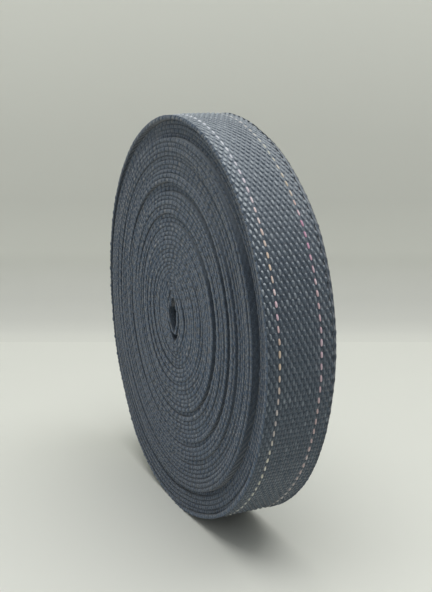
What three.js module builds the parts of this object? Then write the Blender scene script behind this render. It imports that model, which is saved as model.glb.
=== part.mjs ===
// A roll of woven cotton webbing, wound flat on itself with no core, standing on its edge.
// Millimetres, +Z up. The roll's axis lies along Y and its better side faces -Y.
// Angles are in degrees, from +X towards +Z, so the floor is at 270.
import * as THREE from 'three';

// The strip and the roll it makes
const STRIP_WIDTH = 17.6;
const STRIP_THICKNESS = 1.2;
const ROLL_RADIUS = 54.6; // over the outermost turn, just before its cut end
const SELVEDGE_ROUNDING = 0.35;

// The eye is the empty loop inside the first turn, an upright oval
const EYE_WIDTH = 4.2;
const EYE_HEIGHT = 8.2;
const EYE_LEAN = 4; // the oval's tilt away from upright

// Where the two cut ends of the strip lie, and the flat spot that the roll stands on, which begins
// at the outer cut end
const OUTER_END_ANGLE = 266;
const INNER_END_ANGLE = 125;
const FLOOR_ANGLE = 270;
const FLAT_SPOT_LENGTH = 13;

// The mesh is a grid of columns round the axis and rows along the roll's section
const CUT_ANGLE = 0.2; // half the width of the narrow column that holds the outer cut end
const COLUMNS_ON_FLAT = 4;
const COLUMNS_AFTER_FLAT = 52;
const SHOULDER = 0.15; // half the radial width of the step between two bands

// Neighbouring turns slid sideways together when the roll was wound, which leaves rings on its
// sides. Each row is one band of turns, from the eye outwards. The strip keeps its width, so a
// band that stands out at -Y by proud lies as deep at +Y. swing is how far that changes round the
// band, and toward is the angle at which it stands out most. spiral is 1 where the band's outer
// edge follows the outermost turns and 0 where it is a plain circle.
const BANDS = [
  { outer: 8.6, proud: 0.25, swing: 0.1, toward: 180, spiral: 0 },
  { outer: 15.0, proud: 0.0, swing: 0.15, toward: 90, spiral: 0 },
  { outer: 22.4, proud: 0.2, swing: 0.15, toward: 200, spiral: 0 },
  { outer: 26.8, proud: 0.05, swing: 0.2, toward: 0, spiral: 0 },
  { outer: 28.2, proud: -0.4, swing: 0.45, toward: 180, spiral: 0 },
  { outer: 34.6, proud: 0.1, swing: 0.15, toward: 20, spiral: 0 },
  { outer: 36.4, proud: -0.6, swing: 0.6, toward: 180, spiral: 0 },
  { outer: 40.0, proud: 0.25, swing: 0.25, toward: 0, spiral: 0 },
  { outer: 44.8, proud: -0.25, swing: 0.2, toward: 180, spiral: 0 },
  { outer: 48.2, proud: 0.55, swing: 0.15, toward: 290, spiral: 0 },
  { outer: 49.4, proud: -1.1, swing: 0.35, toward: 180, spiral: 0 },
  { outer: ROLL_RADIUS - 2 * STRIP_THICKNESS, proud: -0.55, swing: 0.2, toward: 0, spiral: 1 },
  { outer: ROLL_RADIUS - STRIP_THICKNESS, proud: -1.0, swing: 0.15, toward: 180, spiral: 1 },
  { outer: ROLL_RADIUS, proud: 0.0, swing: 0.1, toward: 90, spiral: 1 },
];

const radians = THREE.MathUtils.degToRad;

// The share of a full turn that a winding makes from one angle down to another.
function turnFraction(from, to) {
  return THREE.MathUtils.euclideanModulo(from - to, 360) / 360;
}

// How far the outermost turns have still to climb, at this angle, before the outer cut end.
function spiralDrop(angle) {
  return STRIP_THICKNESS * turnFraction(angle, OUTER_END_ANGLE);
}

// The height of the axis over the flat spot.
function axisHeight() {
  const radius = ROLL_RADIUS - spiralDrop(FLOOR_ANGLE);
  return Math.sqrt(radius ** 2 - (FLAT_SPOT_LENGTH / 2) ** 2);
}

// Half the angle that the flat spot takes up.
function flatSpotHalfAngle() {
  return THREE.MathUtils.radToDeg(Math.atan2(FLAT_SPOT_LENGTH / 2, axisHeight()));
}

// The inner wall of the eye: an oval that grows by one thickness from the inner cut end round.
function eyeRadius(angle) {
  const tilted = radians(angle - EYE_LEAN);
  const oval = 1 / Math.hypot(Math.cos(tilted) / (EYE_WIDTH / 2), Math.sin(tilted) / (EYE_HEIGHT / 2));
  return oval + STRIP_THICKNESS * turnFraction(INNER_END_ANGLE, angle);
}

// A band's outer edge at one angle. The outer turns are pressed up over the flat spot.
function edgeRadius(band, angle) {
  const free = band.outer - band.spiral * spiralDrop(angle);
  const fromFloor = Math.abs(angle - FLOOR_ANGLE);
  if (!band.spiral || fromFloor > flatSpotHalfAngle() + 1e-6) {
    return free;
  }
  return axisHeight() / Math.cos(radians(fromFloor)) - (ROLL_RADIUS - band.outer);
}

// How far a band stands out towards -Y at one angle.
function standOut(band, angle) {
  return band.proud + band.swing * Math.cos(radians(angle - band.toward));
}

// Angles of the grid's columns, from just past the outer cut end round to just before it.
function columnAngles() {
  const first = OUTER_END_ANGLE + CUT_ANGLE;
  const last = OUTER_END_ANGLE + 360 - CUT_ANGLE;
  const flatEnd = FLOOR_ANGLE + flatSpotHalfAngle();
  const angles = [];
  const spread = (from, to, count) => {
    for (let step = 0; step < count; step += 1) {
      angles.push(THREE.MathUtils.lerp(from, to, step / count));
    }
  };
  spread(first, flatEnd, COLUMNS_ON_FLAT);
  spread(flatEnd, last, COLUMNS_AFTER_FLAT);
  angles.push(last);
  return angles;
}

// One side of the section at one angle, from the eye out, as radius and stand-out pairs.
function sideRows(angle) {
  const rows = [];
  let inner = eyeRadius(angle);
  for (const band of BANDS) {
    const outermost = band === BANDS[BANDS.length - 1];
    const outer = edgeRadius(band, angle);
    const out = standOut(band, angle);
    rows.push({ radius: inner, out });
    rows.push({ radius: outer - (outermost ? SELVEDGE_ROUNDING : SHOULDER), out });
    inner = outer + SHOULDER;
  }
  return rows;
}

// The closed section of the roll at one angle: -Y side outwards, the tread, +Y side inwards.
function sectionPoints(angle) {
  const half = STRIP_WIDTH / 2;
  const rows = sideRows(angle);
  const tread = edgeRadius(BANDS[BANDS.length - 1], angle);
  const out = rows[rows.length - 1].out;
  const section = rows.map((row) => ({ radius: row.radius, y: -half - row.out }));
  section.push({ radius: tread, y: -half - out + SELVEDGE_ROUNDING });
  section.push({ radius: tread, y: half - out - SELVEDGE_ROUNDING });
  for (const row of rows.toReversed()) {
    section.push({ radius: row.radius, y: half - row.out });
  }
  return section;
}

// Joins the sections round the axis into one closed body with an eye right through it.
function rollGeometry() {
  const angles = columnAngles();
  const sections = angles.map(sectionPoints);
  const rowCount = sections[0].length;
  const columnCount = angles.length;
  const positions = [];
  sections.forEach((section, column) => {
    const angle = radians(angles[column]);
    for (const point of section) {
      positions.push(point.radius * Math.cos(angle), point.y, point.radius * Math.sin(angle));
    }
  });
  const indices = [];
  for (let column = 0; column < columnCount; column += 1) {
    const here = column * rowCount;
    const next = ((column + 1) % columnCount) * rowCount;
    for (let row = 0; row < rowCount; row += 1) {
      const above = (row + 1) % rowCount;
      indices.push(here + row, here + above, next + above);
      indices.push(here + row, next + above, next + row);
    }
  }
  const geometry = new THREE.BufferGeometry();
  geometry.setAttribute('position', new THREE.Float32BufferAttribute(positions, 3));
  geometry.setIndex(indices);
  geometry.computeVertexNormals();
  return geometry;
}

// Stands the roll on Z = 0 with the middle of its box over the origin.
function standOnFloor(geometry) {
  geometry.computeBoundingBox();
  const middle = geometry.boundingBox.getCenter(new THREE.Vector3());
  geometry.translate(-middle.x, -middle.y, -geometry.boundingBox.min.z);
  return geometry;
}

function makeRoll() {
  const cotton = new THREE.MeshStandardMaterial({ color: 0x56626f, roughness: 0.95, metalness: 0 });
  const roll = new THREE.Mesh(standOnFloor(rollGeometry()), cotton);
  roll.name = 'webbing_roll';
  return roll;
}

const part = new THREE.Group();
part.add(makeRoll());

export default part;
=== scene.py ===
"""Looks of a roll of woven cotton webbing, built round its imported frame.

The roll is one long strip of grey-blue cotton webbing, wound flat on itself with no core. Its inner
turns show only their selvedges, on the two sides of the roll, where the weft yarn turns back in
small loops. The outermost turn also shows its woven face, where two pale contrast yarns run among
the blue ones as dashed lines.

Sizes are in millimetres and angles in degrees, from +X towards +Z, until a mesh is made in metres.
"""

import logging
import math
from dataclasses import dataclass
from enum import Enum

import bpy
import numpy as np
from bpy.types import Material, Node, NodeSocket, Object
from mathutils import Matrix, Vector


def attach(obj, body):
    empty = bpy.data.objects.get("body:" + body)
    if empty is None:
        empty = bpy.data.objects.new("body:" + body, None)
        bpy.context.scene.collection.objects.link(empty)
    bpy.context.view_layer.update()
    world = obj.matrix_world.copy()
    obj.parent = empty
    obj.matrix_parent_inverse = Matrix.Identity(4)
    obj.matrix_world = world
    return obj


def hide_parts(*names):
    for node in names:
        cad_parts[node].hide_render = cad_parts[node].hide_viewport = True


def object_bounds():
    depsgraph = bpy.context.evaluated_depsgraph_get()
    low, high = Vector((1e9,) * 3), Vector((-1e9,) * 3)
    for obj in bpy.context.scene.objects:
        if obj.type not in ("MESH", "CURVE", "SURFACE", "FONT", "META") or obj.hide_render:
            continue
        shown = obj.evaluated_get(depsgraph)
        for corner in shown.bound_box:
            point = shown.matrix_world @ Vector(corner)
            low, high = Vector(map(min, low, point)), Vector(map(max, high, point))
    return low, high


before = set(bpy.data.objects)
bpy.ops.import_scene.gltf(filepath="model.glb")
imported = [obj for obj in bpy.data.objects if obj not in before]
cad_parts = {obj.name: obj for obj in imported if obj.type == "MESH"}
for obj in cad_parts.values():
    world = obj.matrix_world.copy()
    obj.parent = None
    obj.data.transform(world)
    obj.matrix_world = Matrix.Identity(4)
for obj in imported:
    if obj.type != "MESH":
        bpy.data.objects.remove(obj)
CAD_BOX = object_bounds()
Array = np.ndarray

LOG = logging.getLogger("webbing")
METRE = 0.001
NODE = "webbing_roll"
BODY = "root"
PICK = 1.39  # from one weft pick to the next
YARN_SPACING = 0.714  # from one warp yarn to the next

# The spun-cotton effect: fibre twist in radians for each metre along and round a yarn, and how far
# noise bends it; what makes two random values out of a stitch's one; how much lint the fibres
# carry; and the painted highlight on the crowns of the stitches, for the light that they catch,
# which a power leaves to few stitches.
TWIST_ALONG = 11000.0
TWIST_AROUND = 17000.0
TWIST_BEND = 9.0
TONE_SHUFFLES = (7.3, 31.7)
LINT_SHARE = 0.45
CROWN_HIGHLIGHT_POWER = 3.0
CROWN_HIGHLIGHT_GAIN = 2.2
CROWN_HIGHLIGHT_LEAST = 0.2


class Selvedge(Enum):
    """The two woven edges of the strip, with the side of the roll on which each lies."""

    FRONT = -1
    BACK = 1


@dataclass(frozen=True)
class Band:
    """A band of neighbouring turns that slid sideways together.

    Attributes:
        outer: Radius of its outer edge, in millimetres.
        proud: How far it stands out towards -Y.
        swing: How far that changes round the band.
        toward: Angle at which it stands out most.
        ease: Wound angle over which the strip slides from this band to the next.
    """

    outer: float
    proud: float
    swing: float
    toward: float
    ease: float = 420.0


@dataclass(frozen=True)
class Stop:
    """A distance, strength, tone or colour at one place: at an angle, a radius or a height."""

    place: float
    value: float | tuple[float, float, float]


def stops(*pairs: tuple[float, float | tuple[float, float, float]]) -> tuple[Stop, ...]:
    """Makes a row of stops from pairs of a place and a value."""
    return tuple(Stop(place, value) for place, value in pairs)


@dataclass(frozen=True)
class SectionPoint:
    """One point of the strip's section.

    Attributes:
        side: The selvedge that it belongs to.
        inset: Distance from that selvedge, in millimetres.
        level: 0 on the inner face of the strip and 1 on the outer one.
    """

    side: Selvedge
    inset: float
    level: float


BANDS: tuple[Band, ...] = (
    Band(outer=8.6, proud=0.25, swing=0.1, toward=180),
    Band(outer=15.0, proud=0.0, swing=0.15, toward=90),
    Band(outer=22.4, proud=0.2, swing=0.15, toward=200),
    Band(outer=26.8, proud=0.05, swing=0.2, toward=0, ease=260),
    Band(outer=28.2, proud=-0.25, swing=0.4, toward=210, ease=200),
    Band(outer=34.6, proud=0.1, swing=0.15, toward=20, ease=150),
    Band(outer=36.4, proud=-0.42, swing=0.5, toward=215, ease=120),
    Band(outer=40.0, proud=0.2, swing=0.25, toward=0),
    Band(outer=44.8, proud=-0.15, swing=0.28, toward=250),
    Band(outer=48.2, proud=0.35, swing=0.35, toward=330, ease=60),
    Band(outer=49.4, proud=-0.8, swing=0.8, toward=210, ease=140),
    Band(outer=52.2, proud=-0.8, swing=0.8, toward=222, ease=120),
    Band(outer=53.4, proud=-0.85, swing=0.85, toward=222, ease=60),
    Band(outer=54.6, proud=0.0, swing=0.1, toward=90),
)

# How far the outermost turns sway towards -Y.
OUTERMOST_SWAY = stops(
    (-65, 0.05), (-40, 0.12), (-15, 0.35), (20, 0.30), (50, 0.25), (90, 0.25), (115, 0.20),
    (150, 0.12), (185, 0.00), (215, 0.56), (240, 1.10), (270, 0.85),
)

# How far the turns inside the outermost one swell outwards near the floor.
FOOT_SWELL = stops((-80, 0.0), (205, 0.0), (258, 0.85), (268, 0.95))

# How far the first turn hangs free of the second one, as a negative number.
LOOSE_LOOP = stops(
    (-90, -1.95), (-65, -0.95), (-30, -0.30), (0, -0.30), (60, 0.0), (95, 0.0), (124, -0.05),
    (150, -0.30), (185, -0.42), (225, -0.48), (245, -0.95),
)

# Painted highlight on the outermost turn near its front edge, where the softbox lights it at a grazing
# angle: how much it adds to the painted top light.
EDGE_HIGHLIGHT = stops((-60, 0.0), (8, 0.5), (30, 3.0), (50, 1.6), (75, 0.0), (110, 0.0))

# How far the outer turns' edge at -Y dips towards the axis, and how far the one at +Y does.
FRONT_DROOP = stops((-60, 0.0), (68, 0.0), (80, 0.12), (94, 0.40), (112, 0.58), (128, 0.35), (145, 0.0))
BACK_DROOP = stops(
    (-60, -0.10), (-28, -0.42), (-8, 0.0), (30, 0.15), (52, 0.95), (68, 0.92), (80, 0.60),
    (94, 0.08), (112, 0.0), (250, 0.0),
)

# How pale the selvedges are at a few radii, as a share of the weft yarn's colour: painted shade that
# darkens the turns towards the rim, for the shade under the overhanging outermost turn, and a painted
# highlight on the outermost selvedge itself.
SELVEDGE_LIGHT_AND_SHADE = stops((24.0, 1.06), (40.0, 0.90), (48.0, 0.78), (53.2, 0.76), (53.8, 1.14))

FRONT_SECTION: tuple[SectionPoint, ...] = (
    SectionPoint(Selvedge.FRONT, inset=5.4, level=1.0),
    SectionPoint(Selvedge.FRONT, inset=0.55, level=1.0),
    SectionPoint(Selvedge.FRONT, inset=0.24, level=0.84),
    SectionPoint(Selvedge.FRONT, inset=0.24, level=0.16),
    SectionPoint(Selvedge.FRONT, inset=0.55, level=0.0),
)
STRIP_SECTION = FRONT_SECTION + tuple(
    SectionPoint(Selvedge.BACK, point.inset, point.level) for point in reversed(FRONT_SECTION)
)

# The faces that close a cut end of the strip, by the numbers of the section's points.
END_FACES = ((1, 4, 3, 2), (0, 5, 4, 1), (0, 9, 8, 5), (8, 7, 6, 5))


def smooth_step(share: Array) -> Array:
    """Eases a share from 0 to 1, flat at both ends."""
    held = np.clip(share, 0.0, 1.0)
    return held * held * (3.0 - 2.0 * held)


def smooth_noise(position: Array, knots: float, seed: int) -> Array:
    """Gives soft random values from -1 to 1 along a line that starts at 0.

    Args:
        position: Places along the line.
        knots: Distance between the random values that it eases between.
        seed: Seed of the values, which are the same for the same place each time.

    Returns:
        One value for each place.
    """
    scaled = np.clip(position, 0.0, None) / knots
    low = np.floor(scaled).astype(int)
    values = np.random.default_rng(seed).uniform(-1.0, 1.0, low.max() + 2)
    share = smooth_step(scaled - low)
    return values[low] * (1.0 - share) + values[low + 1] * share


def stray(chance: np.random.Generator, low: float, high: float, shape: tuple[int, ...]) -> Array:
    """Draws factors that stray from 1 by low to high."""
    return 1.0 + chance.uniform(low, high, shape)


def ring_values(angle: Array, ring: tuple[Stop, ...]) -> Array:
    """Eases between values that are given at a few angles round the roll.

    Args:
        angle: Angles at which the value is wanted.
        ring: The given values, by rising angle.

    Returns:
        The value at each angle.
    """
    angles = np.array([stop.place for stop in ring])
    values = np.array([stop.value for stop in ring])
    angles = np.concatenate([angles, [angles[0] + 360.0]])
    values = np.concatenate([values, values[:1]])
    turned = (angle - angles[0]) % 360.0 + angles[0]
    low = np.clip(np.searchsorted(angles, turned, side="right") - 1, 0, len(angles) - 2)
    share = smooth_step((turned - angles[low]) / (angles[low + 1] - angles[low]))
    if values.ndim > 1:
        share = share[..., None]
    return values[low] * (1.0 - share) + values[low + 1] * share


@dataclass(frozen=True)
class Winding:
    """The path of the strip from its inner cut end to its outer one.

    A place along the strip is its wound angle: 0 at the inner cut end, growing outwards. The strip
    winds clockwise as seen from -Y, so its place round the roll is the inner end's angle less it.
    Fields in turns count inwards from the outer cut end, apart from whole_turns and eye_fade_turns.
    """

    strip_width: float = 17.6
    end_radius: float = 54.6
    first_radius: float = 3.0
    eye_width: float = 3.0
    eye_height: float = 9.8
    eye_lean: float = 4.0
    eye_bluntness: float = 2.6
    eye_room: float = 0.1
    eye_fade_turns: float = 9.0
    loose_until: float = 400.0
    loose_fade: float = 120.0
    outer_end_angle: float = 266.0
    inner_end_angle: float = 125.0
    whole_turns: int = 43
    floor_angle: float = 270.0
    flat_length: float = 13.0
    flat_reach: float = 30.0
    flat_fade_turns: float = 7.0
    foot_start_turns: float = 0.06
    layer_slack_turns: float = 0.05
    sway_fade_turns: float = 5.0
    droop_fade_turns: float = 12.0
    droop_start: float = 2.5
    free_turns: float = 1.12
    free_fade_turns: float = 0.1
    turn_gap: float = 0.05
    swell: float = 0.09
    swell_angle: float = 31.0
    turn_jitter: float = 0.19
    jitter_angle: float = 150.0
    wander: float = 0.11
    wander_angle: float = 37.0
    path_steps: int = 40001
    seed: int = 11

    @property
    def total_angle(self) -> float:
        """Wound angle of the outer cut end."""
        return 360.0 * self.whole_turns + self.inner_end_angle - self.outer_end_angle

    @property
    def pitch(self) -> float:
        """Distance from one turn to the next."""
        return (self.end_radius - self.first_radius) / (self.total_angle / 360.0 + 1.0)

    @property
    def middle_radius(self) -> float:
        """Radius of the middle of the outermost turn's thickness."""
        return self.end_radius - self.pitch / 2.0

    @property
    def axis_height(self) -> float:
        """Height of the axis over the floor."""
        drop = self.pitch * (self.floor_angle - self.outer_end_angle) / 360.0
        return math.sqrt((self.end_radius - drop) ** 2 - (self.flat_length / 2.0) ** 2)

    @property
    def centre(self) -> tuple[float, float, float]:
        """The middle of the strip's width on the roll's axis, in the frame."""
        low, _ = CAD_BOX
        across = -self.pitch / 4.0
        proudest = max(band.proud + band.swing for band in BANDS)
        along = low.y / METRE + self.strip_width / 2.0 + proudest
        return across, along, self.axis_height

    def angle(self, wound: Array) -> Array:
        """Angle round the roll at each wound angle."""
        return self.inner_end_angle - wound

    def turns_in(self, wound: Array) -> Array:
        """How many turns from the outer cut end each wound angle lies."""
        return (self.total_angle - wound) / 360.0

    def plain_radius(self, wound: Array) -> Array:
        """Outer radius of an even spiral at each wound angle."""
        return self.end_radius - self.pitch * self.turns_in(wound)

    def eye_offset(self, wound: Array) -> Array:
        """How far the oval of the eye draws each turn in or out."""
        tilted = np.radians(self.angle(wound) - self.eye_lean)
        wide = np.abs(np.cos(tilted)) / self.eye_width
        tall = np.abs(np.sin(tilted)) / self.eye_height
        oval = 0.5 / (wide ** self.eye_bluntness + tall ** self.eye_bluntness) ** (1.0 / self.eye_bluntness)
        fade = 1.0 - np.minimum(wound / 360.0 / self.eye_fade_turns, 1.0)
        return (oval - self.first_radius + self.eye_room) * fade

    def looseness(self, wound: Array) -> Array:
        """How far the first turn hangs free of the second one, as a negative number."""
        share = smooth_step((self.loose_until - wound) / self.loose_fade)
        return ring_values(self.angle(wound), LOOSE_LOOP) * share

    def outer_radius(self, wound: Array) -> Array:
        """Radius of the strip's outer face."""
        return self.wound_radius(wound) + self.looseness(wound)

    def wound_radius(self, wound: Array) -> Array:
        """Outer radius of a tight winding, with the oval eye and the flat spot."""
        radius = self.plain_radius(wound) + self.eye_offset(wound)
        radius = radius + smooth_noise(wound, self.swell_angle, self.seed + 2) * self.swell
        fade = self.outward_share(wound, self.flat_fade_turns)
        under = self.turns_in(wound) > self.foot_start_turns
        foot = np.where(under, ring_values(self.angle(wound), FOOT_SWELL), 0.0)
        radius = radius + foot * fade
        from_floor = (self.angle(wound) - self.floor_angle + 180.0) % 360.0 - 180.0
        layer = np.floor(np.maximum(self.turns_in(wound) + self.layer_slack_turns, 0.0))
        near = np.abs(from_floor) < self.flat_reach
        height = self.axis_height - layer * self.pitch + np.where(layer > 0, foot, 0.0)
        flat = height / np.cos(np.radians(np.where(near, from_floor, 0.0)))
        pressed = np.where(near, np.minimum(radius, flat), radius)
        return radius + (pressed - radius) * fade

    def outward_share(self, wound: Array, turns: float) -> Array:
        """Gives 1 on the outermost turn, falling to 0 over some turns inwards."""
        return 1.0 - np.clip((self.turns_in(wound) - 1.0) / turns, 0.0, 1.0)

    def droop(self, wound: Array, across: Array) -> Array:
        """How far the strip dips towards the axis at each place on it."""
        angle = self.angle(wound)
        front, back = ring_values(angle, FRONT_DROOP), ring_values(angle, BACK_DROOP)
        half = self.strip_width / 2.0
        reach = smooth_step((np.abs(across) - self.droop_start) / (half - self.droop_start))
        dip = np.where(across < 0.0, front, back) * reach
        return dip * self.outward_share(wound, self.droop_fade_turns)

    def inner_radius(self, wound: Array) -> Array:
        """Radius of the strip's inner face, just clear of the turn inside it."""
        return self.wound_radius(wound - 360.0) + self.looseness(wound) + self.turn_gap

    def slide(self, wound: Array) -> Array:
        """How far the strip has slid towards -Y at each wound angle."""
        turn = self.angle(wound)
        outs = [band.proud + band.swing * np.cos(np.radians(turn - band.toward)) for band in BANDS]
        total = outs[0]
        for band, before, after in zip(BANDS, outs, outs[1:]):
            edge = self.total_angle - 360.0 * (self.end_radius - band.outer) / self.pitch
            share = smooth_step((wound - edge) / band.ease + 0.5)
            total = total + (after - before) * share
        free = smooth_step((self.free_turns - self.turns_in(wound)) / self.free_fade_turns)
        own = smooth_noise(wound, self.jitter_angle, self.seed) * self.turn_jitter
        sway = ring_values(turn, OUTERMOST_SWAY) * self.outward_share(wound, self.sway_fade_turns)
        total = total + own * (1.0 - free) + sway
        return total + smooth_noise(wound, self.wander_angle, self.seed + 1) * self.wander

    def lengths(self, wound: Array) -> Array:
        """Length of strip wound up to each wound angle."""
        middle = self.outer_radius(wound) - self.pitch / 2.0
        steps = np.radians(np.diff(wound)) * (middle[1:] + middle[:-1]) / 2.0
        return np.concatenate([[0.0], np.cumsum(steps)])

    def pick_angles(self) -> tuple[Array, Array]:
        """Finds the weft picks along the whole strip.

        Returns:
            Wound angle of each pick, and its length along the strip.
        """
        fine = np.linspace(0.0, self.total_angle, self.path_steps)
        lengths = self.lengths(fine)
        picks = np.linspace(0.0, lengths[-1], int(lengths[-1] / PICK) + 1)
        return np.interp(picks, lengths, fine), picks

    def place(self, wound: Array, across: Array, radius: Array) -> Array:
        """Turns places on the strip into points of the frame.

        Args:
            wound: Wound angles.
            across: Distances from the strip's middle, towards +Y.
            radius: Distances from the roll's axis.

        Returns:
            Points in metres, none of them under the floor.
        """
        x, y, z = self.centre
        angle = np.radians(self.angle(wound))
        radius = radius - self.droop(wound, across)
        points = np.stack([
            x + radius * np.cos(angle),
            y + across - self.slide(wound),
            np.maximum(z + radius * np.sin(angle), 0.0),
        ], axis=-1)
        return points * METRE


def make_mesh(name: str, points: Array, faces: Array) -> Object:
    """Makes a smooth mesh object from points and four-sided faces.

    Args:
        name: Name of the piece.
        points: Points in metres, one row each.
        faces: Indices of each face's four corners.

    Returns:
        The new object, linked to the scene.
    """
    mesh = bpy.data.meshes.new(name)
    mesh.vertices.add(len(points))
    mesh.vertices.foreach_set("co", points.astype(np.float32).ravel())
    mesh.loops.add(faces.size)
    mesh.loops.foreach_set("vertex_index", faces.astype(np.int32).ravel())
    mesh.polygons.add(len(faces))
    mesh.polygons.foreach_set("loop_start", np.arange(0, faces.size, 4, dtype=np.int32))
    mesh.polygons.foreach_set("use_smooth", np.full(len(faces), True))
    mesh.update(calc_edges=True)
    mesh.validate()
    made = bpy.data.objects.new(name, mesh)
    bpy.context.scene.collection.objects.link(made)
    return made


def grid_faces(columns: int, rows: int, closed: bool) -> Array:
    """Lists the faces of a grid of points that is stored column by column.

    Args:
        columns: Number of columns.
        rows: Points in each column.
        closed: Whether the last point of a column joins its first.

    Returns:
        Corner indices of each face.
    """
    column = np.arange(columns - 1)[:, None] * rows
    row = np.arange(rows if closed else rows - 1)[None, :]
    above = (row + 1) % rows
    corners = [column + row, column + above, column + rows + above, column + rows + row]
    return np.stack([np.broadcast_to(c, (columns - 1, row.size)) for c in corners], -1).reshape(-1, 4)


def store_vectors(made: Object, name: str, values: Array) -> None:
    """Keeps three numbers a point on a mesh, for its material."""
    attribute = made.data.attributes.new(name, "FLOAT_VECTOR", "POINT")
    attribute.data.foreach_set("vector", values.astype(np.float32).ravel())


def store_colours(made: Object, name: str, values: Array) -> None:
    """Keeps one colour a point on a mesh, for its material."""
    attribute = made.data.attributes.new(name, "FLOAT_COLOR", "POINT")
    full = np.concatenate([values, np.ones((len(values), 1))], axis=1)
    attribute.data.foreach_set("color", full.astype(np.float32).ravel())


def store_numbers(made: Object, name: str, values: Array) -> None:
    """Keeps one number a point on a mesh, for its material."""
    attribute = made.data.attributes.new(name, "FLOAT", "POINT")
    attribute.data.foreach_set("value", values.astype(np.float32).ravel())


def join_patches(name: str, points: Array, yarn: Array, crown: Array) -> Object:
    """Joins many small grids of points into one piece that rides on the roll.

    Args:
        name: Name of the piece.
        points: Points in metres, by patch, column, row and axis.
        yarn: Place of each point on its yarn, in millimetres along and round it.
        crown: How high each point stands on its stitch, from 0 to 1.

    Returns:
        The new piece.
    """
    count, columns, rows, _ = points.shape
    one = grid_faces(columns, rows, closed=False)
    faces = (one[None] + np.arange(count)[:, None, None] * columns * rows).reshape(-1, 4)
    made = make_mesh(name, points.reshape(-1, 3), faces)
    chance = np.random.default_rng(count).uniform(0.0, 1.0, count)
    tone = np.broadcast_to(chance[:, None, None, None], (count, columns, rows, 1))
    store_vectors(made, "yarn_place", np.concatenate([yarn * METRE, tone], axis=-1).reshape(-1, 3))
    store_numbers(made, "crown", np.broadcast_to(crown, (count, columns, rows)))
    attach(made, BODY)
    LOG.info("%s: %d stitches of yarn", name, count)
    return made


@dataclass
class WebbingStrip:
    """The body of the strip, wound into the roll."""

    winding: Winding
    face_drop: float = 0.30
    drop_angle: float = 14.0
    # Painted shade: how dark the strip's inner face is, as a share of its outer face's colour, for the
    # shade in the eye and between the turns.
    inner_shade: float = 0.5
    length: float = 0.0

    def build(self) -> Object:
        """Builds the strip as one closed mesh and keeps its length.

        Returns:
            The strip's object.
        """
        wind = self.winding
        wound, lengths = wind.pick_angles()
        self.length = float(lengths[-1])
        count = len(wound)
        outer = wind.outer_radius(wound)
        inner = wind.inner_radius(wound)
        past_cover = (wound - (wind.total_angle - 360.0)) / self.drop_angle + 1.0
        face = outer - self.face_drop * smooth_step(past_cover)
        half = wind.strip_width / 2.0
        columns, places = [], []
        for point in STRIP_SECTION:
            across = np.full(count, point.side.value * (half - point.inset))
            radius = inner + (face - inner) * point.level
            columns.append(wind.place(wound, across, radius))
            places.append(np.stack([lengths, across, radius - outer], axis=-1) * METRE)
        rows = len(STRIP_SECTION)
        faces = grid_faces(count, rows, closed=True)
        first = np.array(END_FACES)
        last = first[:, ::-1] + (count - 1) * rows
        faces = np.concatenate([faces, first, last])
        made = make_mesh("webbing_strip", np.stack(columns, axis=1).reshape(-1, 3), faces)
        store_vectors(made, "yarn_place", np.stack(places, axis=1).reshape(-1, 3))
        light_mask = np.tile([point.level for point in STRIP_SECTION], count)
        store_numbers(made, "light_mask", light_mask)
        # Painted shade: the strip's colours darken towards its inner face.
        tones = self.inner_shade + (1.0 - self.inner_shade) * light_mask
        store_colours(made, "surface_colours", tones[:, None] * np.array(SHADED_BLUE_BODY.base))
        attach(made, BODY)
        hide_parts(NODE)
        LOG.info("webbing_strip: %d picks, %.2f m of strip", count, self.length * METRE)
        return made


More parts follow.
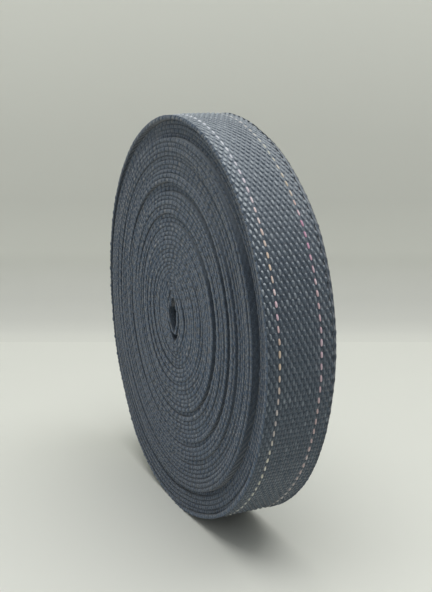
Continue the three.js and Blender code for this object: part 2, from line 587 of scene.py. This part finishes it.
@dataclass
class SelvedgeLoops:
    """The loops in which the weft turns back at a selvedge, once at each pick of the whole strip."""

    winding: Winding
    loop_width: float = 1.52
    loop_height: float = 0.38
    loop_inset: float = 0.40
    loop_thickness: float = 0.94
    flank: float = 0.86
    weak_share: float = 0.62
    slant: float = 0.22
    height_stray: tuple[float, float] = (-0.3, 0.25)
    width_stray: tuple[float, float] = (-0.14, 0.12)
    slant_stray: float = 0.12
    place_stray: float = 0.14
    thickness_stray: float = 0.06
    bare_turns: float = 1.1
    bare_fade_turns: float = 0.2
    steps: int = 4
    seed: int = 41

    def build(self, side: Selvedge) -> Object:
        """Builds all the loops of one selvedge.

        Args:
            side: Which selvedge.

        Returns:
            The joined loops.
        """
        wind = self.winding
        wound, _ = wind.pick_angles()
        chance = np.random.default_rng(self.seed + side.value)
        count = len(wound)
        shape = (count, 1, 1)
        strong = np.where((np.arange(count) + (side is Selvedge.BACK)) % 2 == 0, 1.0, self.weak_share)
        height = self.loop_height * strong.reshape(shape) * stray(chance, *self.height_stray, shape)
        width = self.loop_width * stray(chance, *self.width_stray, shape)
        share = np.linspace(-1.0, 1.0, self.steps + 1)
        along, up = share[None, :, None], share[None, None, :]
        swell = np.sqrt(1.0 - along ** 2) * np.sqrt(1.0 - self.flank * up ** 2)
        lean = self.slant + chance.uniform(-self.slant_stray, self.slant_stray, shape)
        moved = chance.uniform(-self.place_stray, self.place_stray, shape)
        reach = along * width / 2.0 + up * lean + moved
        middle = (wind.outer_radius(wound) + wind.inner_radius(wound)).reshape(shape) / 2.0
        turned = wound.reshape(shape) + np.degrees(reach / middle)
        turned = np.clip(turned, 0.0, wind.total_angle)
        outer, inner = wind.outer_radius(turned), wind.inner_radius(turned)
        thick = self.loop_thickness + chance.uniform(-self.thickness_stray, self.thickness_stray, shape)
        level = 0.5 + 0.5 * up * thick
        radius = inner + (outer - inner) * level
        out = wind.strip_width / 2.0 - self.loop_inset + height * swell
        points = wind.place(turned, side.value * out, radius)
        yarn = np.stack(np.broadcast_arrays(up * wind.pitch, reach), axis=-1)
        made = join_patches(f"weft_loops_{side.name.lower()}", points, yarn, swell)
        # Light mask for the painted top light: only the outward halves of the outermost turn's loops.
        light_mask = smooth_step((self.bare_turns - wind.turns_in(turned)) / self.bare_fade_turns) * up
        store_numbers(made, "light_mask", np.broadcast_to(light_mask, radius.shape))
        # Painted light and shade by radius: darker outer turns and a paler outermost selvedge.
        places = [stop.place for stop in SELVEDGE_LIGHT_AND_SHADE]
        tones = np.interp(radius, places, [stop.value for stop in SELVEDGE_LIGHT_AND_SHADE])
        store_colours(made, "surface_colours", tones.reshape(-1, 1) * np.array(BLUE_LOOPS.base))
        return made


@dataclass(frozen=True)
class ContrastYarn:
    """A pale warp yarn that shows as a dashed line.

    Attributes:
        place: Its number among the warp yarns, from the front selvedge.
        surface_colours: Its dye colours round the roll.
    """

    place: int
    surface_colours: tuple[Stop, ...]


CONTRAST_YARNS: tuple[ContrastYarn, ...] = (
    ContrastYarn(place=4, surface_colours=stops(
        (-55, (0.56, 0.58, 0.50)), (-26, (0.72, 0.69, 0.56)),
        (-12, (0.60, 0.53, 0.52)), (4, (0.72, 0.54, 0.36)),
        (14, (0.84, 0.54, 0.66)), (25, (0.90, 0.68, 0.48)),
        (36, (0.92, 0.72, 0.66)), (47, (0.90, 0.79, 0.88)),
        (60, (0.86, 0.90, 0.97)), (76, (0.84, 0.88, 0.95)),
        (120, (0.72, 0.74, 0.78)), (200, (0.76, 0.68, 0.66)),
    )),
    ContrastYarn(place=19, surface_colours=stops(
        (-55, (0.50, 0.47, 0.44)), (-15, (0.64, 0.45, 0.45)),
        (4, (0.70, 0.48, 0.58)), (16, (0.72, 0.46, 0.50)),
        (33, (0.74, 0.30, 0.50)), (46, (0.74, 0.62, 0.44)),
        (60, (0.72, 0.73, 0.60)), (76, (0.66, 0.62, 0.58)),
        (120, (0.72, 0.70, 0.68)), (200, (0.66, 0.50, 0.54)),
    )),
)


@dataclass
class OuterWeave:
    """The woven face of the outermost turn: the warp yarns' floats between the weft picks."""

    winding: Winding
    edge_margin: float = 0.58
    yarns: int = 24
    ground_size: tuple[float, float, float] = (1.78, 0.80, 0.35)
    contrast_size: tuple[float, float, float] = (1.80, 0.54, 0.40)
    length_stray: tuple[float, float] = (-0.12, 0.10)
    width_stray: tuple[float, float] = (-0.18, 0.12)
    height_stray: tuple[float, float] = (-0.25, 0.12)
    lean_stray: float = 6.0
    along_stray: float = 0.07
    side_stray: float = 0.04
    taper: float = 0.8
    end_width: float = 0.25
    side_lean: float = 0.6
    yarn_wrap: float = 1.4
    sink: float = 0.10
    lean: float = 7.0
    # Width of the painted highlight along the front edge.
    highlight_width: float = 4.6
    steps_along: int = 6
    steps_across: int = 5
    seed: int = 23

    def centres(self, yarn: int) -> tuple[Array, Array]:
        """Finds the middle of each float of one warp yarn.

        Args:
            yarn: Number of the yarn, from the front selvedge.

        Returns:
            Length before the outer cut end, and distance across the strip, of each float.
        """
        turn = 2.0 * math.pi * self.winding.middle_radius
        crossings = np.arange(yarn % 2, int(turn / PICK), 2)
        spacing = (self.winding.strip_width - 2.0 * self.edge_margin) / (self.yarns - 1)
        across = self.edge_margin + yarn * spacing - self.winding.strip_width / 2.0
        return (crossings + 0.5) * PICK, np.full(len(crossings), across)

    def floats(self, name: str, yarns: list[int], size: tuple[float, float, float]) -> Object:
        """Builds the floats of some warp yarns as one piece.

        Args:
            name: Name of the piece.
            yarns: Numbers of the yarns.
            size: Length, width and height of a float.

        Returns:
            The joined floats.
        """
        wind = self.winding
        back, middle = (np.concatenate(part) for part in zip(*(self.centres(yarn) for yarn in yarns)))
        shape = (len(back), 1, 1)
        chance = np.random.default_rng(self.seed + len(yarns))
        length = size[0] * stray(chance, *self.length_stray, shape)
        width = size[1] * stray(chance, *self.width_stray, shape)
        height = size[2] * stray(chance, *self.height_stray, shape)
        along = np.linspace(-1.0, 1.0, self.steps_along + 1)[None, :, None]
        around = np.linspace(-0.5, 0.5, self.steps_across + 1)[None, None, :] * math.pi
        swell = np.sqrt(1.0 - along ** 2) ** self.taper
        out = height * swell * np.cos(around) - self.sink
        side = width / 2.0 * (self.end_width + (1.0 - self.end_width) * swell) * np.sin(around)
        reach = np.broadcast_to(length / 2.0 * along, out.shape)
        lean = np.radians(self.lean + chance.uniform(-self.lean_stray, self.lean_stray, shape))
        turned_along = reach * np.cos(lean) - side * np.sin(lean)
        turned_along = turned_along + chance.uniform(-self.along_stray, self.along_stray, shape)
        turned_side = side * np.cos(lean) + reach * np.sin(lean) * self.side_lean
        turned_side = turned_side + chance.uniform(-self.side_stray, self.side_stray, shape)
        before = back.reshape(shape) - turned_along
        wound = wind.total_angle - np.degrees(np.clip(before, 0.0, None) / wind.middle_radius)
        span = middle.reshape(shape) + turned_side
        radius = wind.outer_radius(wound) - size[2] + self.sink + out
        yarn = np.stack([reach, side * self.yarn_wrap], axis=-1)
        made = join_patches(name, wind.place(wound, span, radius), yarn, swell * np.cos(around))
        # Painted highlight near the front edge, which strengthens the painted top light there.
        near = 1.0 - smooth_step((span + wind.strip_width / 2.0) / self.highlight_width)
        light_mask = 1.0 + ring_values(wind.angle(wound), EDGE_HIGHLIGHT) * near
        store_numbers(made, "light_mask", np.broadcast_to(light_mask, radius.shape))
        return made

    def build_ground(self) -> Object:
        """Builds the floats of the blue warp yarns."""
        pale = [yarn.place for yarn in CONTRAST_YARNS]
        blue = [yarn for yarn in range(self.yarns) if yarn not in pale]
        return self.floats("warp_floats", blue, self.ground_size)

    def build_contrast(self, yarn: ContrastYarn) -> Object:
        """Builds the floats of one contrast yarn, each with its own dye.

        Args:
            yarn: The contrast yarn.

        Returns:
            The joined floats.
        """
        made = self.floats(f"contrast_floats_{yarn.place}", [yarn.place], self.contrast_size)
        back, _ = self.centres(yarn.place)
        angles = self.winding.outer_end_angle + np.degrees(back / self.winding.middle_radius)
        colours = ring_values(angles, yarn.surface_colours)
        points = (self.steps_along + 1) * (self.steps_across + 1)
        store_colours(made, "surface_colours", np.repeat(colours, points, axis=0))
        return made


class NodeTree:
    """A short way to place and join shader nodes."""

    def __init__(self, tree: bpy.types.NodeTree) -> None:
        """Keeps the tree that the nodes go into."""
        self.tree = tree

    def add(self, kind: str, **values: object) -> Node:
        """Adds a node.

        Args:
            kind: Blender's name of the node type.
            values: Properties of the node, such as its operation.

        Returns:
            The new node.
        """
        node = self.tree.nodes.new(kind)
        for key, value in values.items():
            setattr(node, key, value)
        return node

    def sockets(self, way: str, kind: str, *names: str) -> None:
        """Gives a group some inputs or outputs of one kind."""
        for name in names:
            self.tree.interface.new_socket(name, in_out=way, socket_type=kind)

    def feed(self, source: object, node: Node, socket: str | int) -> None:
        """Joins an output to a node's input, or sets the input where the source is a plain value."""
        target = node.inputs[socket]
        if isinstance(source, NodeSocket):
            self.tree.links.new(source, target)
        else:
            target.default_value = source

    def math(self, operation: str, *inputs: object) -> NodeSocket:
        """Adds a math node and returns its result."""
        node = self.add("ShaderNodeMath", operation=operation)
        for index, source in enumerate(inputs):
            self.feed(source, node, index)
        return node.outputs[0]

    def weighted(self, *parts: tuple[object, float]) -> NodeSocket:
        """Adds up some values, each times its weight, and returns the sum."""
        scaled = [self.math("MULTIPLY", value, weight) for value, weight in parts]
        total = scaled[0]
        for part in scaled[1:]:
            total = self.math("ADD", total, part)
        return total

    def halved(self, wave: object) -> NodeSocket:
        """Brings a value that runs from -1 to 1 to the span from 0 to 1."""
        return self.math("MULTIPLY", self.math("ADD", wave, 1.0), 0.5)

    def axes(self, vector: object) -> bpy.types.NodeOutputs:
        """Splits a vector into its three parts."""
        node = self.add("ShaderNodeSeparateXYZ")
        self.feed(vector, node, 0)
        return node.outputs

    def attribute(self, name: str, output: str) -> NodeSocket:
        """Reads what a mesh keeps at each point under a name."""
        return self.add("ShaderNodeAttribute", attribute_name=name).outputs[output]

    def mix(self, share: object, first: object, second: object) -> NodeSocket:
        """Mixes two colours and returns the result."""
        node = self.add("ShaderNodeMix", data_type="RGBA")
        self.feed(share, node, 0)
        self.feed(first, node, 6)
        self.feed(second, node, 7)
        return node.outputs[2]

    def noise(self, vector: object, scale: float, detail: float = 2.0) -> NodeSocket:
        """Adds a noise texture and returns its value."""
        node = self.add("ShaderNodeTexNoise")
        self.feed(vector, node, "Vector")
        self.feed(scale, node, "Scale")
        self.feed(detail, node, "Detail")
        return node.outputs["Fac"]

    def spread(self, value: object, low: float, high: float) -> NodeSocket:
        """Stretches a value so that low becomes 0 and high becomes 1."""
        node = self.add("ShaderNodeMapRange")
        self.feed(value, node, "Value")
        self.feed(low, node, "From Min")
        self.feed(high, node, "From Max")
        return node.outputs["Result"]


def plain_weave_group() -> bpy.types.NodeTree:
    """Builds the shared plain-weave effect: crowns in a brick lattice, spaced like the real floats.

    Returns:
        A node group with the inputs Along and Across, in metres, and the output Crown.
    """
    group = bpy.data.node_groups.new("plain_weave", "ShaderNodeTree")
    tree = NodeTree(group)
    tree.sockets("INPUT", "NodeSocketFloat", "Along", "Across")
    tree.sockets("OUTPUT", "NodeSocketFloat", "Crown")
    given = tree.add("NodeGroupInput")
    result = tree.add("NodeGroupOutput")
    waves = []
    for name, spacing in (("Along", PICK), ("Across", YARN_SPACING)):
        turn = tree.math("MULTIPLY", given.outputs[name], math.pi / (spacing * METRE))
        waves.append(tree.math("COSINE", turn))
    tree.feed(tree.halved(tree.math("MULTIPLY", *waves)), result, "Crown")
    return group


def spun_cotton_group() -> bpy.types.NodeTree:
    """Builds the shared spun-cotton effect: twisted fibres, uneven dye and pale lint, with painted light
    and shade: highlights on the crowns, shade in the valleys and between the plies, light on what faces up.

    Returns:
        A node group with the inputs Base, Deep, Pale, Crown, Mottle, Crown Highlight and Top Light, and
        the outputs Color and Height.
    """
    group = bpy.data.node_groups.new("spun_cotton", "ShaderNodeTree")
    tree = NodeTree(group)
    tree.sockets("INPUT", "NodeSocketColor", "Base", "Deep", "Pale")
    tree.sockets("INPUT", "NodeSocketFloat", "Crown", "Mottle", "Wear", "Dust")
    tree.sockets("OUTPUT", "NodeSocketColor", "Color")
    tree.sockets("OUTPUT", "NodeSocketFloat", "Height")
    given = tree.add("NodeGroupInput")
    result = tree.add("NodeGroupOutput")
    along, around, tone = tree.axes(tree.attribute("yarn_place", "Vector"))
    solid = tree.add("ShaderNodeTexCoord").outputs["Object"]
    bend = tree.noise(solid, scale=2600.0)
    slanted = tree.weighted((along, TWIST_ALONG), (bend, TWIST_BEND), (around, TWIST_AROUND))
    twist = tree.halved(tree.math("SINE", slanted))
    fibre = tree.noise(solid, scale=5200.0, detail=3.0)
    patch = tree.spread(tree.noise(solid, scale=60.0), low=0.3, high=0.7)
    clump = tree.spread(tree.noise(solid, scale=1100.0, detail=3.0), low=0.28, high=0.72)
    own, other = (tree.math("FRACT", tree.math("MULTIPLY", tone, part)) for part in TONE_SHUFFLES)
    # Painted shade: the low parts of each stitch and the grooves between the twisted plies are darkened
    # towards the Deep colour, along with the random tone of the dye.
    valley_shade = tree.spread(given.outputs["Crown"], low=0.75, high=0.1)
    ply_groove_shade = tree.math("SUBTRACT", 1.0, twist)
    deep = tree.weighted((clump, 0.3), (own, 0.22), (patch, 0.15), (valley_shade, 0.35), (ply_groove_shade, 0.5))
    deep = tree.math("MINIMUM", tree.math("MULTIPLY", deep, given.outputs["Mottle"]), 1.0)
    dyed_and_shaded = tree.mix(deep, given.outputs["Base"], given.outputs["Deep"])
    lint = tree.math("MULTIPLY", tree.spread(fibre, low=0.52, high=0.78), LINT_SHARE)
    # Painted highlight: the crowns of the stitches are paled, on the plies only and more on a few stitches,
    # for the light that the crowns catch.
    top = tree.spread(given.outputs["Crown"], low=0.55, high=0.98)
    ply = tree.math("ADD", tree.math("MULTIPLY", twist, 0.5), 0.5)
    highlight_strength = tree.math("MULTIPLY", tree.math("POWER", other, CROWN_HIGHLIGHT_POWER), CROWN_HIGHLIGHT_GAIN)
    highlight_strength = tree.math("ADD", highlight_strength, CROWN_HIGHLIGHT_LEAST)
    highlit = tree.math("MULTIPLY", tree.math("MULTIPLY", top, given.outputs["Wear"]), ply)
    highlit = tree.math("MULTIPLY", highlit, highlight_strength)
    # Painted light: what faces up is paled towards the Pale colour, in place of the softbox above.
    upward = tree.axes(tree.add("ShaderNodeNewGeometry").outputs["Normal"])[2]
    dust = tree.math("MULTIPLY", tree.spread(upward, low=0.42, high=0.95), given.outputs["Dust"])
    pale = tree.math("MINIMUM", tree.math("ADD", tree.math("ADD", lint, highlit), dust), 1.0)
    tree.feed(tree.mix(pale, dyed_and_shaded, given.outputs["Pale"]), result, "Color")
    height = tree.weighted((twist, 0.35), (fibre, 0.65))
    tree.feed(height, result, "Height")
    return group


@dataclass(frozen=True)
class CottonFinish:
    """A cotton yarn's finish.

    Attributes:
        name: Name of the material.
        base: Main colour of the dyed yarn, unless the mesh carries colours of its own.
        deep: Colour where the dye took most, and of the painted shade in the valleys between the stitches
            and between the plies.
        pale: Colour of the lint, of the painted crown highlights and of the painted top light.
        mottle: How strongly the tone changes.
        wear: How strong the painted highlight on the crowns of the stitches is, for the light that they
            catch.
        dust: How strongly painted light pales what faces up, towards the softbox above.
        relief: Depth of the fibres' bump, in metres.
        weave_relief: How much deeper the drawn weave is than the fibres.
        roughness: Roughness of the yarn.
        specular: Strength of its shine.
        sheen: Strength of the soft sheen at grazing angles.
        sheen_roughness: How widely the sheen spreads.
        own_colours: Whether the mesh carries its own colours, which hold painted light and shade on the
            strip and on the selvedges.
        drawn_weave: Whether the weave is drawn on the surface, for want of stitches in the mesh.
        masked_top_light: Whether the painted top light falls only where the mesh's light mask lets it.
    """

    name: str
    base: tuple[float, float, float]
    deep: tuple[float, float, float]
    pale: tuple[float, float, float]
    mottle: float = 0.85
    wear: float = 0.0
    dust: float = 0.0
    relief: float = 0.0001
    weave_relief: float = 2.5
    roughness: float = 0.92
    specular: float = 0.2
    sheen: float = 0.5
    sheen_roughness: float = 0.5
    own_colours: bool = False
    drawn_weave: bool = False
    masked_top_light: bool = False

    def crown(self, tree: NodeTree, weave: bpy.types.NodeTree) -> NodeSocket:
        """Finds how high each point stands on its stitch.

        Args:
            tree: The material's nodes.
            weave: The shared plain-weave effect.

        Returns:
            A value from 0 to 1.
        """
        if not self.drawn_weave:
            return tree.attribute("crown", "Fac")
        along, across, _ = tree.axes(tree.attribute("yarn_place", "Vector"))
        drawn = tree.add("ShaderNodeGroup", node_tree=weave)
        tree.feed(along, drawn, "Along")
        tree.feed(across, drawn, "Across")
        return drawn.outputs["Crown"]

    def material(self, group: bpy.types.NodeTree, weave: bpy.types.NodeTree) -> Material:
        """Builds the material.

        Args:
            group: The shared spun-cotton effect.
            weave: The shared plain-weave effect.

        Returns:
            The new material.
        """
        made = bpy.data.materials.new(self.name)
        made.use_nodes = True
        tree = NodeTree(made.node_tree)
        shader = made.node_tree.nodes["Principled BSDF"]
        cotton = tree.add("ShaderNodeGroup", node_tree=group)
        for socket, colour in (("Base", self.base), ("Deep", self.deep), ("Pale", self.pale)):
            tree.feed((*colour, 1.0), cotton, socket)
        for socket, amount in (("Mottle", self.mottle), ("Wear", self.wear), ("Dust", self.dust)):
            tree.feed(amount, cotton, socket)
        # Painted top light, only where the mesh's light mask lets it.
        if self.masked_top_light:
            light_mask = tree.attribute("light_mask", "Fac")
            tree.feed(tree.math("MULTIPLY", light_mask, self.dust), cotton, "Dust")
        crown = self.crown(tree, weave)
        tree.feed(crown, cotton, "Crown")
        # The mesh's own colours, with painted light and shade on the strip and the selvedges.
        if self.own_colours:
            tree.feed(tree.attribute("surface_colours", "Color"), cotton, "Base")
        bump = tree.add("ShaderNodeBump")
        tree.feed(self.relief, bump, "Distance")
        height = cotton.outputs["Height"]
        if self.drawn_weave:
            height = tree.math("ADD", height, tree.math("MULTIPLY", crown, self.weave_relief))
        tree.feed(height, bump, "Height")
        tree.feed(bump.outputs["Normal"], shader, "Normal")
        tree.feed(cotton.outputs["Color"], shader, "Base Color")
        tree.feed(self.roughness, shader, "Roughness")
        tree.feed(self.sheen, shader, "Sheen Weight")
        tree.feed(self.sheen_roughness, shader, "Sheen Roughness")
        tree.feed(self.specular, shader, "Specular IOR Level")
        return made


@dataclass(frozen=True)
class StudioPaint:
    """A plain matt studio surface that is clear where it is seen from behind.

    Attributes:
        name: Name of the material.
        tones: How pale it is at each height, in rising order; on the wall this is painted light and shade
            that changes with height.
        tint: Its colour where the tone is 1.
        top: Height at which the ramp of tones ends, in millimetres.
        roughness: Roughness of the paint.
        specular: Strength of its shine.
    """

    name: str
    tones: tuple[Stop, ...]
    tint: tuple[float, float, float] = (0.988, 1.0, 0.925)
    top: float = 160.0
    roughness: float = 0.85
    specular: float = 0.2

    def material(self) -> Material:
        """Builds the material."""
        made = bpy.data.materials.new(self.name)
        made.use_nodes = True
        tree = NodeTree(made.node_tree)
        shader = made.node_tree.nodes["Principled BSDF"]
        output = made.node_tree.nodes["Material Output"]
        up = tree.axes(tree.add("ShaderNodeTexCoord").outputs["Object"])[2]
        ramp = tree.add("ShaderNodeValToRGB")
        while len(ramp.color_ramp.elements) < len(self.tones):
            ramp.color_ramp.elements.new(1.0)
        for element, stop in zip(ramp.color_ramp.elements, self.tones):
            element.position = stop.place / self.top
            element.color = (*(stop.value * part for part in self.tint), 1.0)
        tree.feed(tree.math("DIVIDE", up, self.top * METRE), ramp, "Fac")
        tree.feed(ramp.outputs["Color"], shader, "Base Color")
        tree.feed(self.roughness, shader, "Roughness")
        tree.feed(self.specular, shader, "Specular IOR Level")
        behind = tree.add("ShaderNodeNewGeometry")
        clear = tree.add("ShaderNodeBsdfTransparent")
        chosen = tree.add("ShaderNodeMixShader")
        tree.feed(behind.outputs["Backfacing"], chosen, 0)
        tree.feed(shader.outputs[0], chosen, 1)
        tree.feed(clear.outputs[0], chosen, 2)
        tree.feed(chosen.outputs[0], output, "Surface")
        return made


@dataclass
class Studio:
    """The pale floor, the wall behind, the soft light from above and the camera."""

    winding: Winding
    azimuth: float = 65.87
    elevation: float = 14.56
    distance: float = 252.6
    yaw: float = 65.02
    pitch_down: float = 13.50
    focal_length: float = 55.85
    sensor: float = 36.0
    clip_start: float = 10.0
    wall_distance: float = 400.0
    wall_lift: float = 0.2
    cove_radius: float = 32.0
    cove_steps: int = 16
    wall_height: float = 700.0
    half_width: float = 2500.0
    light_height: float = 1100.0
    light_place: tuple[float, float] = (90.0, 50.0)
    light_size: float = 1140.0
    light_power: float = 12.1
    fill: float = 0.33
    fill_tint: tuple[float, float, float] = (0.96, 0.98, 1.0)

    def camera_place(self) -> Vector:
        """Where the camera stands, in millimetres."""
        turn, lift = math.radians(self.azimuth), math.radians(self.elevation)
        back = Vector((math.sin(turn) * math.cos(lift), -math.cos(turn) * math.cos(lift), math.sin(lift)))
        return Vector(self.winding.centre) + back * self.distance

    def forward(self) -> Vector:
        """The level direction in which the camera looks."""
        return Vector((-math.sin(math.radians(self.yaw)), math.cos(math.radians(self.yaw)), 0.0))

    def build_camera(self) -> None:
        """Builds the camera at the photograph's angle."""
        data = bpy.data.cameras.new("camera")
        data.sensor_width = self.sensor
        data.lens = self.focal_length
        data.clip_start = self.clip_start * METRE
        camera = bpy.data.objects.new("camera", data)
        camera.location = self.camera_place() * METRE
        camera.rotation_euler = (math.radians(90.0 - self.pitch_down), 0.0, math.radians(self.yaw))
        bpy.context.scene.collection.objects.link(camera)
        bpy.context.scene.camera = camera

    def build_floor(self) -> None:
        """Builds the floor, a broad flat sheet."""
        reach = self.half_width * METRE
        corners = ((-1, -1), (1, -1), (1, 1), (-1, 1))
        points = np.array([(x * reach, y * reach, 0.0) for x, y in corners])
        floor = make_mesh("floor", points, np.array([[0, 1, 2, 3]]))
        floor.data.materials.append(FLOOR_PAINT.material())

    def build_wall(self) -> None:
        """Builds the wall behind the roll, which rises from the floor in a soft cove."""
        forward = self.forward()
        side = Vector((-forward.y, forward.x, 0.0))
        foot = self.camera_place() + forward * self.wall_distance
        profile = [(0.0, self.wall_lift)]
        for step in range(1, self.cove_steps + 1):
            bend = math.radians(90.0) * step / self.cove_steps
            rise = self.cove_radius * (1.0 - math.cos(bend)) + self.wall_lift
            profile.append((self.cove_radius * math.sin(bend), rise))
        profile.append((self.cove_radius, self.wall_height))
        points = []
        for out, up in profile:
            for sign in (1.0, -1.0):
                point = foot + forward * out + side * (sign * self.half_width)
                points.append((point.x * METRE, point.y * METRE, up * METRE))
        wall = make_mesh("wall", np.array(points), grid_faces(len(profile), 2, closed=False))
        wall.data.materials.append(WALL_LIGHT_RAMP.material())

    def build_light(self) -> None:
        """Adds the square softbox above the roll."""
        data = bpy.data.lights.new("softbox", "AREA")
        data.shape = "SQUARE"
        data.size = self.light_size * METRE
        data.energy = self.light_power
        light = bpy.data.objects.new("softbox", data)
        centre = Vector(self.winding.centre)
        place = centre + Vector((*self.light_place, self.light_height))
        light.location = place * METRE
        light.rotation_euler = (centre - place).to_track_quat("-Z", "Y").to_euler()
        bpy.context.scene.collection.objects.link(light)

    def build_world(self) -> None:
        """Fills the room with a weak even light."""
        world = bpy.data.worlds.new("room")
        world.use_nodes = True
        background = world.node_tree.nodes["Background"]
        background.inputs["Color"].default_value = (*self.fill_tint, 1.0)
        background.inputs["Strength"].default_value = self.fill
        bpy.context.scene.world = world

    def build(self) -> None:
        """Builds the whole studio."""
        bpy.context.scene.view_settings.view_transform = "Standard"
        self.build_camera()
        self.build_floor()
        self.build_wall()
        self.build_light()
        self.build_world()


FLOOR_PAINT = StudioPaint("floor_paint", tones=stops((0.0, 0.75), (160.0, 0.75)))
# Painted light and shade on the wall: its tone rises and falls with height, darkest low in the cove and
# palest near the top, in place of the light's fall-off.
WALL_LIGHT_RAMP = StudioPaint("wall_light_ramp", tones=stops(
    (0.0, 0.711), (1.2, 0.697), (2.5, 0.664), (5.7, 0.625), (13.5, 0.622), (20.0, 0.653),
    (36.0, 0.741), (60.0, 0.678), (90.0, 0.711), (150.0, 0.847),
))
# A darker copy of the blue cotton: painted shade in the gaps between the selvedge loops and between the
# floats, where the strip's body shows.
SHADED_BLUE_BODY = CottonFinish(
    name="shaded_blue_cotton_body", base=(0.064, 0.088, 0.122), deep=(0.034, 0.048, 0.068),
    pale=(0.34, 0.39, 0.44), dust=0.6, own_colours=True, drawn_weave=True, masked_top_light=True
)
BLUE_LOOPS = CottonFinish(
    name="blue_weft", base=(0.100, 0.145, 0.214), deep=(0.040, 0.060, 0.092), pale=(0.22, 0.285, 0.38),
    mottle=0.62, dust=0.9, sheen=0.4, own_colours=True, masked_top_light=True
)
BLUE_FLOATS = CottonFinish(
    name="blue_warp", base=(0.098, 0.127, 0.162), deep=(0.046, 0.063, 0.085), pale=(0.43, 0.475, 0.51),
    mottle=0.75, wear=0.24, dust=0.80, sheen=0.2, masked_top_light=True
)
PALE_FLOATS = CottonFinish(
    name="pale_warp", base=(0.62, 0.60, 0.58), deep=(0.34, 0.30, 0.30), pale=(0.90, 0.90, 0.92),
    mottle=0.25, wear=0.4, own_colours=True
)


def main() -> None:
    """Builds the roll and the studio, and reports each piece."""
    logging.basicConfig(level=logging.INFO, format="%(name)s: %(message)s")
    winding = Winding()
    Studio(winding).build()
    effects = (spun_cotton_group(), plain_weave_group())
    strip_maker = WebbingStrip(winding)
    strip = strip_maker.build()
    strip.data.materials.append(SHADED_BLUE_BODY.material(*effects))
    weft = BLUE_LOOPS.material(*effects)
    loops = [SelvedgeLoops(winding).build(side) for side in Selvedge]
    for piece in loops:
        piece.data.materials.append(weft)
    weave = OuterWeave(winding)
    ground = weave.build_ground()
    ground.data.materials.append(BLUE_FLOATS.material(*effects))
    contrast = [weave.build_contrast(yarn) for yarn in CONTRAST_YARNS]
    pale = PALE_FLOATS.material(*effects)
    for piece in contrast:
        piece.data.materials.append(pale)


if __name__ == "__main__":
    main()
